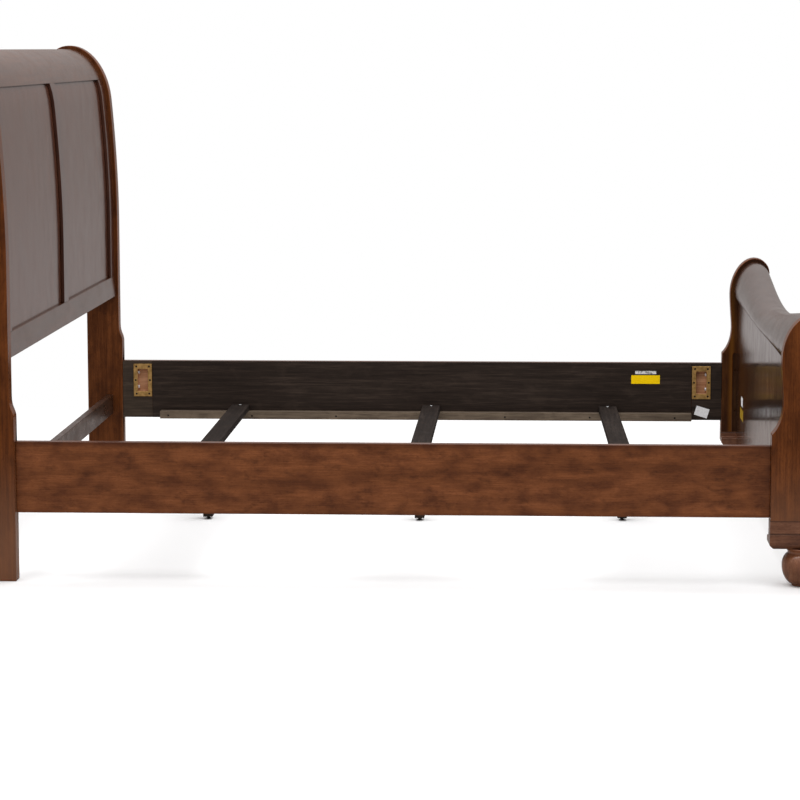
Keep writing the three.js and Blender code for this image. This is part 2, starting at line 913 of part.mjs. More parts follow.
// ---------------------------------------------------------------- slats, legs and levellers
function buildSlats() {
  const names = ['head', 'middle', 'foot'];
  slatPlaces.forEach((x, i) => {
    const name = names[i];
    const slat = block(
      x - slatWidth / 2,
      x + slatWidth / 2,
      -railInner + gap,
      railInner - gap,
      slatBottom,
      slatTop,
    );
    const skew = new THREE.Matrix4().makeShear(0, 0, slatSkews[i], 0, 0, 0);
    addPiece(`slat_${name}`, slat.applyMatrix4(skew), darkStain);

    const [legX, legY] = legPlaces[i];
    const leg = block(
      legX - legWidth / 2,
      legX + legWidth / 2,
      legY - legDepth / 2,
      legY + legDepth / 2,
      legLift,
      slatBottom - gap,
    );
    const bore = rod('Z', insertRadius + gap, insertLength + 1, legX, legY, legLift + insertLength / 2 - 0.5);
    const pilotLength = stemLength + 4;
    const pilot = rod('Z', stemRadius + stemFit, pilotLength, legX, legY, legLift + pilotLength / 2 - 1);
    addPiece(`support_leg_${name}`, cut(leg, [bore, pilot]), darkStain);

    const insert = rod('Z', insertRadius, insertLength - 1, legX, legY, legLift + insertLength / 2);
    const thread = rod('Z', stemRadius + stemFit, insertLength + 2, legX, legY, legLift + insertLength / 2);
    addPiece(`leg_insert_${name}`, cut(insert, [thread]), zincSteel);

    // hexagonal collar that seats under the leg, threaded stem above it and a ball end below it
    const collarBottom = legLift - gap - collarThick;
    const collarRadius = collarFlats / Math.sqrt(3);
    const collar = rod('Z', collarRadius, collarThick, legX, legY, collarBottom + collarThick / 2, 6);
    const stem = rod('Z', stemRadius, stemLength, legX, legY, collarBottom + stemLength / 2);
    const ballBottom = padFloor + gap;
    const ballLength = collarBottom - ballBottom + 1;
    const ball = rod('Z', ballRadius, ballLength, legX, legY, ballBottom + ballLength / 2);
    addPiece(`leveller_stem_${name}`, join([collar, stem, ball]), blackZinc);

    const pad = new THREE.LatheGeometry([
      new THREE.Vector2(0, 0),
      new THREE.Vector2(footPadRadius - 0.5, 0),
      new THREE.Vector2(footPadRadius, 0.5),
      new THREE.Vector2(footPadRadius, footPadHeight - 1),
      new THREE.Vector2(footPadRadius - 1, footPadHeight),
      new THREE.Vector2(ballRadius + gap, footPadHeight),
      new THREE.Vector2(ballRadius + gap, padFloor),
      new THREE.Vector2(0, padFloor),
    ], 16);
    addPiece(`leveller_pad_${name}`, pad.rotateX(Math.PI / 2).translate(legX, legY, 0), blackPlastic);
  });
}

buildHeadPosts();
buildHeadFrame();
buildFootPosts();
buildFootCrest();
buildFootPanel();
buildPlinths();
buildBunFeet();
buildRails();
buildRailHardware();
buildSlats();

// the origin is on the floor under the middle of the bed's whole length
bed.position.x = (headBack - footBack) / 2;

export default bed;
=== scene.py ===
import math

import bpy
from mathutils import Matrix, Vector


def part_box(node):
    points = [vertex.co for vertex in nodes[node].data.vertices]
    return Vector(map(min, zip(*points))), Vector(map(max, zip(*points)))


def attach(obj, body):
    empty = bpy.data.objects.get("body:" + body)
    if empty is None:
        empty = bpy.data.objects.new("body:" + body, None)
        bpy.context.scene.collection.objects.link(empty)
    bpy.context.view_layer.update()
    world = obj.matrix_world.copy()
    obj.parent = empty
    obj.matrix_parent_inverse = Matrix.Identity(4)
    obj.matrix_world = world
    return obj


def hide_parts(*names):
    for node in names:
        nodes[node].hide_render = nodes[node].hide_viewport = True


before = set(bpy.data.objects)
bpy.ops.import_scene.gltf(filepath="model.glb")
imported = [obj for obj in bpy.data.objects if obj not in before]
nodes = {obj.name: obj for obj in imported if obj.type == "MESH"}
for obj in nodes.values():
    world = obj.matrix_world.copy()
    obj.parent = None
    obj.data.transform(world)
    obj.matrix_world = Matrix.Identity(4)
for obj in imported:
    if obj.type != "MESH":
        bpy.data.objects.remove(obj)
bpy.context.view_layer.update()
sides = {"left": -1, "right": 1}
ends = {"head": -1, "foot": 1}
slatNames = ("head", "middle", "foot")
print("frame loaded:", len(nodes), "pieces")


# small helpers
def deselectAll():
    if bpy.context.object and bpy.context.object.mode != "OBJECT":
        bpy.ops.object.mode_set(mode="OBJECT")
    bpy.ops.object.select_all(action="DESELECT")


def pickUp(piece):
    deselectAll()
    piece.select_set(True)
    bpy.context.view_layer.objects.active = piece


def applyModifier(piece, kind, settings):
    pickUp(piece)
    bpy.ops.object.modifier_add(type=kind)
    modifier = piece.modifiers[-1]
    for name, value in settings.items():
        setattr(modifier, name, value)
    bpy.ops.object.modifier_apply(modifier=modifier.name)


def settle(piece):  # the place goes into the mesh, so the object sits at the origin
    pickUp(piece)
    bpy.ops.object.transform_apply(location=True, rotation=True, scale=True)


def linear(hexColour):
    shares = [int(hexColour[i:i + 2], 16) / 255 for i in (1, 3, 5)]
    return [s / 12.92 if s <= 0.04045 else ((s + 0.055) / 1.055) ** 2.4 for s in shares] + [1.0]


def addNode(tree, kind, settings=None, links=None):
    node = tree.nodes.new(kind)
    for name, value in (settings or {}).items():
        if name == "stops":
            elements = node.color_ramp.elements
            while len(elements) < len(value):
                elements.new(0.5)
            for element, (position, colour) in zip(elements, value):
                element.position = position
                element.color = linear(colour) if isinstance(colour, str) else (colour, colour, colour, 1)
        elif isinstance(name, int) or name in node.inputs:
            node.inputs[name].default_value = value
        else:
            setattr(node, name, value)
    for name, socket in (links or {}).items():
        tree.links.new(socket, node.inputs[name])
    return node


def newMaterial(name):
    material = bpy.data.materials.new(name)
    material.use_nodes = True
    tree = material.node_tree
    return material, tree, tree.nodes["Principled BSDF"]


# How far the figure, streaks, fibres and stain patches reach along and across the grain, in metres.
grainSizes = {
    "figure": (0.42, 0.055),
    "streak": (0.26, 0.009),
    "fibre": (0.06, 0.0022),
    "pore": (0.009, 0.0007),
    "patch": (0.085, 0.042),
    "knot": (0.036, 0.020),
}


def acrossGrain(tree, coords, axis, size):
    along, across = grainSizes[size]
    scale = [1 / across] * 3
    for letter in axis:
        scale["XYZ".index(letter)] = 1 / along
    return addNode(tree, "ShaderNodeMapping", {"Scale": scale}, {"Vector": coords}).outputs["Vector"]


# Birch, planed and sanded, under a sprayed reddish brown toner and satin nitrocellulose lacquer.
# The eye gets soft blotches where the stain soaked in, long faint streaks,
# and a clear film that mirrors at low angles.
def lacqueredBirch(name, look):
    material, tree, shader = newMaterial(name)
    coords = addNode(tree, "ShaderNodeTexCoord").outputs["Object"]
    tones = {}
    for size, detail, twist in (("figure", 3, 0.9), ("streak", 4, 0.3), ("fibre", 3, 0.1), ("pore", 1, 0),
                                ("patch", 3, 0.15), ("knot", 3, 0.1)):
        place = acrossGrain(tree, coords, look["grain"], size)
        tones[size] = addNode(tree, "ShaderNodeTexNoise", {
            "Scale": 1.0, "Detail": detail, "Roughness": 0.55, "Distortion": twist},
            {"Vector": place}).outputs["Fac"]
    broad = addNode(tree, "ShaderNodeMix", {0: look["streaks"]}, {2: tones["figure"], 3: tones["streak"]})
    fine = addNode(tree, "ShaderNodeMix", {0: look["fibres"]}, {2: broad.outputs[0], 3: tones["fibre"]})
    colour = addNode(tree, "ShaderNodeValToRGB", {"stops": [
        (0.34, look["dark"]), (0.5, look["mid"]), (0.66, look["light"])]},
        {"Fac": fine.outputs[0]}).outputs["Color"]
    soaked = addNode(tree, "ShaderNodeValToRGB", {"stops": [
        (0.34, look["patches"]), (0.58, 0.0)]}, {"Fac": tones["patch"]})
    colour = addNode(tree, "ShaderNodeMix", {
        "data_type": "RGBA", "blend_type": "MIX", 7: linear(look["stain"])}, {
        0: soaked.outputs["Color"], 6: colour}).outputs[2]
    spots = addNode(tree, "ShaderNodeValToRGB", {"stops": [
        (0.26, look["spots"]), (0.44, 0.0)]}, {"Fac": tones["knot"]})
    colour = addNode(tree, "ShaderNodeMix", {
        "data_type": "RGBA", "blend_type": "MIX", 7: linear(look["spot"])}, {
        0: spots.outputs["Color"], 6: colour}).outputs[2]
    pores = addNode(tree, "ShaderNodeValToRGB", {"stops": [
        (0.30, 0.6), (0.42, 0.0)]}, {"Fac": tones["pore"]})
    colour = addNode(tree, "ShaderNodeMix", {
        "data_type": "RGBA", "blend_type": "MIX", 7: linear(look["stain"])}, {
        0: pores.outputs["Color"], 6: colour}).outputs[2]
    if look.get("tonerAndPaintedLight"):  # bands where the toner lies thicker or has rubbed thin, and bands of painted light and shade
        parts = addNode(tree, "ShaderNodeSeparateXYZ", {}, {"Vector": coords})
        for axis, line, reach, depth, tone in look["tonerAndPaintedLight"]:
            away = addNode(tree, "ShaderNodeMath", {"operation": "SUBTRACT", 1: line},
                {0: parts.outputs[axis]})
            away = addNode(tree, "ShaderNodeMath", {"operation": "ABSOLUTE"}, {0: away.outputs[0]})
            dark = addNode(tree, "ShaderNodeMapRange", {
                "interpolation_type": "SMOOTHSTEP", "From Min": 0, "From Max": reach, "To Min": depth,
                "To Max": 0}, {"Value": away.outputs[0]})
            colour = addNode(tree, "ShaderNodeMix", {
                "data_type": "RGBA", "blend_type": "MIX", 7: linear(tone)},
                {0: dark.outputs[0], 6: colour}).outputs[2]
    tree.links.new(colour, shader.inputs["Base Color"])
    film = addNode(tree, "ShaderNodeMapRange", {
        "From Min": 0.3, "From Max": 0.7, "To Min": look["roughness"] - 0.04,
        "To Max": look["roughness"] + 0.05}, {"Value": tones["patch"]})
    tree.links.new(film.outputs[0], shader.inputs["Roughness"])
    height = addNode(tree, "ShaderNodeMix", {0: 0.35}, {2: tones["streak"], 3: tones["pore"]})
    relief = addNode(tree, "ShaderNodeBump", {"Strength": look["relief"], "Distance": 0.0004}, {
        "Height": height.outputs[0]})
    tree.links.new(relief.outputs[0], shader.inputs["Normal"])
    shader.inputs["IOR"].default_value = 1.5  # cured lacquer
    shader.inputs["Specular IOR Level"].default_value = look["gloss"]
    return material


birchLook = {
    "grain": "Z", "dark": "#44220f", "mid": "#613417", "light": "#76421e", "stain": "#2a120a",
    "spot": "#26120b", "patches": 0.4, "spots": 0.3, "streaks": 0.6, "fibres": 0.25,
    "roughness": 0.22, "relief": 0.06, "gloss": 0.09,
}
# each band, real toner on the rails and plinths, painted light and shade on the posts: axis (0 X, 2 Z), its
# middle and reach in metres, strength, tone
paintedFloorGlow = ((2, 0.05, 0.36, 0.42, "#8f6a55"),)  # painted light: paler towards the floor, standing in for light bounced up from it
postBirch = lacqueredBirch("postBirch", {**birchLook, "tonerAndPaintedLight": paintedFloorGlow})
postInsidePaintedShade = lacqueredBirch("postInsidePaintedShade", {  # painted shade: the faces that look into the bed are darkened for the shade they sit in
    **birchLook, "dark": "#3f1f0d", "mid": "#583016", "light": "#6c3d1f", "patches": 0.5})
# painted shade on the foot posts' inward faces, darker overall and towards the top, with a painted
# highlight in a narrow band at X 1.1045 m along the housing's edge
footInsidePaintedShade = lacqueredBirch("footInsidePaintedShade", {
    **birchLook, "dark": "#2f1a0d", "mid": "#482a15", "light": "#5b371b", "patches": 0.55,
    "tonerAndPaintedLight": ((0, 1.1045, 0.016, 0.75, "#714619"), (2, 0.8, 0.4, 1.0, "#2a160c"))})
# painted shade: the floors of the routed housings darkened as if in shadow
recessPaintedShade = lacqueredBirch("recessPaintedShade", {
    **birchLook, "dark": "#2b190e", "mid": "#3f2715", "light": "#4e331d"})
railBirch = lacqueredBirch("railBirch", {
    **birchLook, "grain": "X", "dark": "#5f361e", "mid": "#764527", "light": "#8c5433", "stain": "#3a1c12",
    "patches": 0.55, "spots": 0.4, "streaks": 0.2, "fibres": 0.4, "gloss": 0.16,
    "tonerAndPaintedLight": ((2, 0.389, 0.022, 0.6, "#3a1c12"), (2, 0.19, 0.012, 0.3, "#3a1c12")),
})
panelVeneer = lacqueredBirch("panelVeneer", {
    **birchLook, "grain": "XZ", "dark": "#3a1f14", "mid": "#4a291b", "light": "#593423", "patches": 0.25,
    "spots": 0.1, "streaks": 0.7, "roughness": 0.16, "gloss": 0.44})
crestVeneer = lacqueredBirch("crestVeneer", {
    **birchLook, "grain": "Y", "dark": "#361e12", "mid": "#45291a", "light": "#543423", "patches": 0.3,
    "spots": 0.1, "roughness": 0.18, "gloss": 0.38})
stileBirch = lacqueredBirch("stileBirch", {
    **birchLook, "dark": "#2c160d", "mid": "#3f2115", "light": "#4f2c1d", "roughness": 0.16, "gloss": 0.46})
footVeneer = lacqueredBirch("footVeneer", {
    **birchLook, "grain": "XZ", "dark": "#23120b", "mid": "#2f1b11", "light": "#3c2518", "patches": 0.25,
    "spots": 0.1, "streaks": 0.7, "roughness": 0.14, "gloss": 0.92})
footCrestVeneer = lacqueredBirch("footCrestVeneer", {
    **birchLook, "grain": "Y", "dark": "#26140e", "mid": "#331e14", "light": "#40281b", "patches": 0.25,
    "spots": 0.1, "roughness": 0.17, "gloss": 0.66})
plinthBirch = lacqueredBirch("plinthBirch", {
    **birchLook, "grain": "X", "dark": "#583626", "mid": "#704935", "light": "#835a43", "gloss": 0.3,
    "tonerAndPaintedLight": (  # stain gathers in the joints
        (2, 0.1848, 0.004, 0.75, "#23120b"), (2, 0.1486, 0.005, 0.6, "#23120b"),
        (2, 0.1068, 0.006, 0.5, "#23120b"))})
turnedBirch = lacqueredBirch("turnedBirch", {
    **birchLook, "dark": "#684029", "mid": "#84543a", "light": "#9a684a", "roughness": 0.18,
    "patches": 0.45, "gloss": 0.5})


# Poplar with a thin dark brown wipe-on stain and a dull sealer coat,
# used where it doesn't show once the bed is made.
# It reads almost black, with a fine dry grain and rubbed, dusty patches.
def stainedPoplar(name, look):
    material, tree, shader = newMaterial(name)
    coords = addNode(tree, "ShaderNodeTexCoord").outputs["Object"]
    tones = {}
    for size, detail in (("streak", 4), ("fibre", 3), ("patch", 5), ("pore", 1)):
        place = acrossGrain(tree, coords, look["grain"], size)
        tones[size] = addNode(tree, "ShaderNodeTexNoise", {
            "Scale": 1.0, "Detail": detail, "Roughness": 0.6, "Distortion": 0.3},
            {"Vector": place}).outputs["Fac"]
    fine = addNode(tree, "ShaderNodeMix", {0: 0.45}, {2: tones["streak"], 3: tones["fibre"]})
    colour = addNode(tree, "ShaderNodeValToRGB", {"stops": [
        (0.34, look["dark"]), (0.52, look["mid"]), (0.68, look["light"])]},
        {"Fac": fine.outputs[0]}).outputs["Color"]
    dust = addNode(tree, "ShaderNodeValToRGB", {"stops": [
        (0.52, 0.0), (0.72, look["dust"])]}, {"Fac": tones["patch"]})
    colour = addNode(tree, "ShaderNodeMix", {"data_type": "RGBA", "blend_type": "MIX",
        7: linear(look["light"])}, {
        0: dust.outputs["Color"], 6: colour}).outputs[2]
    tree.links.new(colour, shader.inputs["Base Color"])
    dull = addNode(tree, "ShaderNodeMapRange", {
        "From Min": 0.3, "From Max": 0.7, "To Min": look["roughness"] - 0.08,
        "To Max": look["roughness"] + 0.1},
        {"Value": tones["patch"]})
    tree.links.new(dull.outputs[0], shader.inputs["Roughness"])
    height = addNode(tree, "ShaderNodeMix", {0: 0.5}, {2: tones["fibre"], 3: tones["pore"]})
    relief = addNode(tree, "ShaderNodeBump", {"Strength": 0.25, "Distance": 0.0004},
        {"Height": height.outputs[0]})
    tree.links.new(relief.outputs[0], shader.inputs["Normal"])
    shader.inputs["Specular IOR Level"].default_value = look["gloss"]
    return material


poplarLook = {"grain": "X", "dark": "#1f1814", "mid": "#2c231e", "light": "#3f342d", "dust": 0.5,
    "roughness": 0.6,
    "gloss": 0.12}
railInside = stainedPoplar("railInside", poplarLook)
railEndInside = stainedPoplar("railEndInside",
    {**poplarLook, "dark": "#2a231e", "mid": "#3a3028", "light": "#4b4036"})
cleatPoplar = stainedPoplar("cleatPoplar", {
    **poplarLook, "dark": "#453a31", "mid": "#5d5145", "light": "#766859", "dust": 0.7})
slatPoplar = stainedPoplar("slatPoplar", {
    **poplarLook, "grain": "Y", "dark": "#1b1614", "mid": "#26201d", "light": "#38302c", "dust": 0.6,
    "roughness": 0.8, "gloss": 0.07})
legPoplar = stainedPoplar("legPoplar", {**poplarLook, "grain": "Z"})
stretcherPoplar = stainedPoplar("stretcherPoplar", {
    **poplarLook, "grain": "Y", "dark": "#26160f", "mid": "#342219", "light": "#463127", "roughness": 0.3,
    "gloss": 0.3})
rawBirch = stainedPoplar("rawBirch", {  # bare wood left by the router, warm and dry
    **poplarLook, "dark": "#9a6c4e", "mid": "#b98a69", "light": "#d2a685", "dust": 0.3, "roughness": 0.8})


# Plated and brushed steel: a metal whose fine rub marks run one way, with duller worn spots.
def platedSteel(name, look):
    material, tree, shader = newMaterial(name)
    coords = addNode(tree, "ShaderNodeTexCoord").outputs["Object"]
    place = addNode(tree, "ShaderNodeMapping", {"Scale": look["marks"]}, {"Vector": coords}).outputs[
        "Vector"]
    marks = addNode(tree, "ShaderNodeTexNoise", {"Scale": 1.0, "Detail": 4, "Roughness": 0.6},
        {"Vector": place})
    wear = addNode(tree, "ShaderNodeTexNoise", {"Scale": 90.0, "Detail": 3}, {"Vector": coords})
    both = addNode(tree, "ShaderNodeMix", {0: 0.5}, {2: marks.outputs["Fac"], 3: wear.outputs["Fac"]})
    colour = addNode(tree, "ShaderNodeValToRGB", {"stops": [
        (0.35, look["dull"]), (0.6, look["bright"])]}, {"Fac": both.outputs[0]})
    tree.links.new(colour.outputs["Color"], shader.inputs["Base Color"])
    rough = addNode(tree, "ShaderNodeMapRange", {
        "From Min": 0.3, "From Max": 0.7, "To Min": look["roughness"] + 0.1,
        "To Max": look["roughness"] - 0.05},
        {"Value": both.outputs[0]})
    tree.links.new(rough.outputs[0], shader.inputs["Roughness"])
    relief = addNode(tree, "ShaderNodeBump", {"Strength": 0.2, "Distance": 0.0002},
        {"Height": marks.outputs["Fac"]})
    tree.links.new(relief.outputs[0], shader.inputs["Normal"])
    shader.inputs["Metallic"].default_value = look["metal"]
    return material


brassPlate = platedSteel("brassPlate", {  # brushed lengthwise, marks about 0.6 mm apart and 30 mm long
    "marks": (1600, 1600, 33), "dull": "#90703e", "bright": "#d2aa6a", "roughness": 0.4, "metal": 0.8})
zincPlate = platedSteel("zincPlate", {
    "marks": (400, 400, 400), "dull": "#c4c6ca", "bright": "#f2f4f6", "roughness": 0.24, "metal": 0.6})
blackZinc = platedSteel("blackZinc", {
    "marks": (400, 400, 400), "dull": "#141416", "bright": "#2a2a2e", "roughness": 0.42, "metal": 1.0})


# Injection-moulded nylon: black, with a fine moulded grain that spreads the light.
def mouldedNylon(name):
    material, tree, shader = newMaterial(name)
    coords = addNode(tree, "ShaderNodeTexCoord").outputs["Object"]
    grit = addNode(tree, "ShaderNodeTexNoise", {"Scale": 2500.0, "Detail": 2},
        {"Vector": coords})  # 0.4 mm grain
    colour = addNode(tree, "ShaderNodeValToRGB", {"stops": [(0.3, "#101011"), (0.7, "#1b1b1d")]}, {
        "Fac": grit.outputs["Fac"]})
    tree.links.new(colour.outputs["Color"], shader.inputs["Base Color"])
    relief = addNode(tree, "ShaderNodeBump", {"Strength": 0.3, "Distance": 0.0001},
        {"Height": grit.outputs["Fac"]})
    tree.links.new(relief.outputs[0], shader.inputs["Normal"])
    shader.inputs["Roughness"].default_value = 0.55
    return material


blackNylon = mouldedNylon("blackNylon")


# Uncoated label paper: matt, with faint fibres and smudges.
def labelPaper(name, look):
    material, tree, shader = newMaterial(name)
    coords = addNode(tree, "ShaderNodeTexCoord").outputs["Object"]
    fibres = addNode(tree, "ShaderNodeTexNoise", {"Scale": 700.0, "Detail": 4},
        {"Vector": coords})  # 1.5 mm fibres
    smudges = addNode(tree, "ShaderNodeTexNoise", {"Scale": 120.0, "Detail": 2}, {"Vector": coords})
    both = addNode(tree, "ShaderNodeMix", {0: look["smudges"]},
        {2: fibres.outputs["Fac"], 3: smudges.outputs["Fac"]})
    colour = addNode(tree, "ShaderNodeValToRGB", {"stops": [(0.38, look["shade"]), (0.56, look["ink"])]}, {
        "Fac": both.outputs[0]})
    tree.links.new(colour.outputs["Color"], shader.inputs["Base Color"])
    relief = addNode(tree, "ShaderNodeBump", {"Strength": 0.2, "Distance": 0.0001},
        {"Height": fibres.outputs["Fac"]})
    tree.links.new(relief.outputs[0], shader.inputs["Normal"])
    shader.inputs["Roughness"].default_value = 0.7
    shader.inputs["Specular IOR Level"].default_value = 0.12
    return material


yellowPaper = labelPaper("yellowPaper", {"ink": "#ffd800", "shade": "#f4c400", "smudges": 0.3})
# painted shade: a darker copy of the yellow paper for the tag on the foot post, which hangs in shade
shadedYellowPaper = labelPaper("shadedYellowPaper", {"ink": "#a98612", "shade": "#86690c", "smudges": 0.4})
whitePaper = labelPaper("whitePaper", {"ink": "#eeeff2", "shade": "#d8d9dd", "smudges": 0.3})
greyedPaper = labelPaper("greyedPaper", {"ink": "#dfe0e0", "shade": "#6d6d6e", "smudges": 0.75})
print("finishes mixed")


# softened copies of the joinery
def copyOf(nodeName, name):
    piece = bpy.data.objects.new(name, nodes[nodeName].data.copy())
    bpy.context.scene.collection.objects.link(piece)
    piece.data.materials.clear()
    pickUp(piece)
    bpy.ops.object.mode_set(mode="EDIT")
    bpy.ops.mesh.select_all(action="SELECT")
    bpy.ops.mesh.customdata_custom_splitnormals_clear()
    bpy.ops.mesh.remove_doubles(threshold=0.00002)
    bpy.ops.mesh.dissolve_limited(angle_limit=math.radians(0.5))
    bpy.ops.object.mode_set(mode="OBJECT")
    return piece


def hasRoom(mesh, edge, faces, width):  # both faces beside an edge are wide enough for the bevel
    a, b = (mesh.vertices[i].co for i in edge.vertices)
    along = (b - a).normalized()
    for face in faces:
        offsets = [mesh.vertices[i].co - a for i in face.vertices]
        if max((o - along * o.dot(along)).length for o in offsets) < 2.3 * width:
            return False
    return (b - a).length > 2 * width


def softenEdges(piece, width, segments=3):
    pickUp(piece)
    bpy.context.tool_settings.mesh_select_mode = (False, True, False)
    bpy.ops.object.mode_set(mode="EDIT")
    bpy.ops.mesh.select_all(action="DESELECT")
    bpy.ops.mesh.edges_select_sharp(sharpness=math.radians(32))
    bpy.ops.object.mode_set(mode="OBJECT")
    mesh = piece.data
    beside = {}
    for face in mesh.polygons:
        for key in face.edge_keys:
            beside.setdefault(key, []).append(face)
    for edge in mesh.edges:
        edge.select = edge.select and hasRoom(mesh, edge, beside[edge.key], width)
    bpy.ops.object.mode_set(mode="EDIT")
    bpy.ops.transform.edge_bevelweight(value=1)
    bpy.ops.object.mode_set(mode="OBJECT")
    applyModifier(piece, "BEVEL", {
        "limit_method": "WEIGHT", "width": width, "segments": segments, "use_clamp_overlap": False})
    bpy.ops.object.shade_smooth_by_angle(angle=math.radians(40))
    applyModifier(piece, "WEIGHTED_NORMAL", {"keep_sharp": True, "weight": 70})


def finishPiece(piece, nodeNames, material, body="root"):
    if material:
        piece.data.materials.append(material)
    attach(piece, body)
    if nodeNames:
        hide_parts(*nodeNames)


joinery = {  # radius of the sanded edges in metres, and the finish
    "headboard_post_left": (0.0025, postBirch), "headboard_post_right": (0.0025, postBirch),
    "headboard_bottom_rail": (0.0015, crestVeneer), "headboard_centre_stile": (0.0015, stileBirch),
    "headboard_end_stile_left": (0.0015, stileBirch), "headboard_end_stile_right": (0.0015, stileBirch),
    "headboard_crest_rail": (0.0015, crestVeneer), "headboard_panel_left": (0.0006, panelVeneer),
    "headboard_panel_right": (0.0006, panelVeneer), "headboard_stretcher": (0.0015, stretcherPoplar),
    "footboard_post_left": (0.0025, postBirch), "footboard_post_right": (0.0025, postBirch),
    "footboard_crest_rail": (0.0012, footCrestVeneer), "footboard_panel": (0.0008, footVeneer),
    "footboard_base_rail": (0.0015, crestVeneer), "footboard_plinth_left": (0.002, plinthBirch),
    "footboard_plinth_right": (0.002, plinthBirch), "footboard_base_band_left": (0.0004, plinthBirch),
    "footboard_base_band_right": (0.0004, plinthBirch), "slat_cleat_left": (0.001, cleatPoplar),
    "slat_cleat_right": (0.001, cleatPoplar),
    "slat_head": (0.002, slatPoplar), "slat_middle": (0.002, slatPoplar), "slat_foot": (0.002, slatPoplar),
    "support_leg_head": (0.0015, legPoplar), "support_leg_middle": (0.0015, legPoplar),
    "support_leg_foot": (0.0015, legPoplar),
}
recessFloor = 0.987  # inner faces further out than this are the floors of the routed housings
for nodeName, (radius, material) in joinery.items():
    piece = copyOf(nodeName, nodeName + "_finished")
    softenEdges(piece, radius)
    finishPiece(piece, [nodeName], material)
    if "_post_" in nodeName:  # painted shade on the inward faces and deeper painted shade on the housing floors; the sanded arrises keep the outer finish and read as bright edges
        piece.data.materials.append(footInsidePaintedShade if "footboard" in nodeName else postInsidePaintedShade)
        piece.data.materials.append(recessPaintedShade)
        side = -1 if nodeName.endswith("left") else 1
        for face in piece.data.polygons:
            if face.normal.y * side < -0.98:
                face.material_index = 2 if abs(face.center.y) > recessFloor else 1
print("joinery softened:", len(joinery), "pieces")

# side rails: lacquered outside and on top, stained inside, bare wood in the bolt pockets
railShape = {"edge": 0.0015, "insideSkin": 0.9855, "outsideSkin": 1.0045, "endZone": 0.104}
for sideName, side in sides.items():
    nodeName = "side_rail_" + sideName
    low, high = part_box(nodeName)
    piece = copyOf(nodeName, nodeName + "_finished")
    softenEdges(piece, railShape["edge"])
    for material in (railBirch, railInside, railEndInside, rawBirch):
        piece.data.materials.append(material)
    for face in piece.data.polygons:
        centre = face.center
        within = railShape["insideSkin"] < abs(centre.y) < railShape["outsideSkin"]
        if within and low.z + 0.003 < centre.z < high.z - 0.003:
            face.material_index = 3
        elif face.normal.y * side < -0.5:
            face.material_index = 2 if centre.x - low.x < railShape["endZone"] else 1
        else:
            face.material_index = 0
    finishPiece(piece, [nodeName], None)
print("side rails finished")

# bun feet, turned on a lathe: rings drawn up one after another
bunShape = {
    "sides": 96, "widest": 0.059, "widestHeight": 0.058, "pad": 0.031, "padHeight": 0.006,
    "underReach": 0.053, "underWaist": 0.025, "shoulderReach": 0.034, "shoulderWaist": 0.036,
    "collarHeight": 0.0942, "collar": 0.043, "topHeight": 0.1062, "top": 0.053,
}


def bunRings(shape):
    rings = [(0.001, shape["pad"]), (shape["padHeight"], shape["pad"])]
    swell = shape["widest"] - shape["underWaist"]
    for degrees in range(75, 0, -7):
        turn = math.radians(degrees)
        height = shape["widestHeight"] - shape["underReach"] * math.sin(turn) / math.sin(math.radians(78))
        rings.append((height, shape["underWaist"] + swell * math.cos(turn)))
    swell = shape["widest"] - shape["shoulderWaist"]
    for degrees in range(0, 74, 8):
        turn = math.radians(degrees)
        height = shape["widestHeight"] + shape["shoulderReach"] * math.sin(turn) / math.sin(
            math.radians(76))
        rings.append((height, shape["shoulderWaist"] + swell * math.cos(turn)))
    rings.append((shape["collarHeight"], shape["collar"]))
    rings.append((shape["collarHeight"] + 0.005, shape["collar"] + 0.002))
    rings.append((shape["topHeight"] - 0.002, shape["top"] - 0.001))
    rings.append((shape["topHeight"], shape["top"] - 0.002))
    return rings


for sideName in sides:
    low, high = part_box("bun_foot_" + sideName)
    middle = (low + high) / 2
    deselectAll()
    bpy.ops.mesh.primitive_circle_add(
        vertices=bunShape["sides"], radius=bunShape["pad"] - 0.001, fill_type="NGON",
        location=(middle.x, middle.y, 0))
    piece = bpy.context.object
    piece.name = "bun_foot_" + sideName + "_turned"
    bpy.ops.object.mode_set(mode="EDIT")
    bpy.ops.mesh.select_all(action="SELECT")
    height, radius = 0.0, bunShape["pad"] - 0.001
    for ringHeight, ringRadius in bunRings(bunShape):
        bpy.ops.mesh.extrude_region_move(TRANSFORM_OT_translate={"value": (0, 0, ringHeight - height)})
        share = ringRadius / radius
        bpy.ops.transform.resize(value=(share, share, 1), center_override=(middle.x, middle.y, ringHeight))
        height, radius = ringHeight, ringRadius
    bpy.ops.mesh.select_all(action="SELECT")
    bpy.ops.mesh.normals_make_consistent(inside=False)
    bpy.ops.object.mode_set(mode="OBJECT")
    settle(piece)
    bpy.ops.object.shade_smooth_by_angle(angle=math.radians(38))
    finishPiece(piece, ["bun_foot_" + sideName], turnedBirch)
print("bun feet turned")


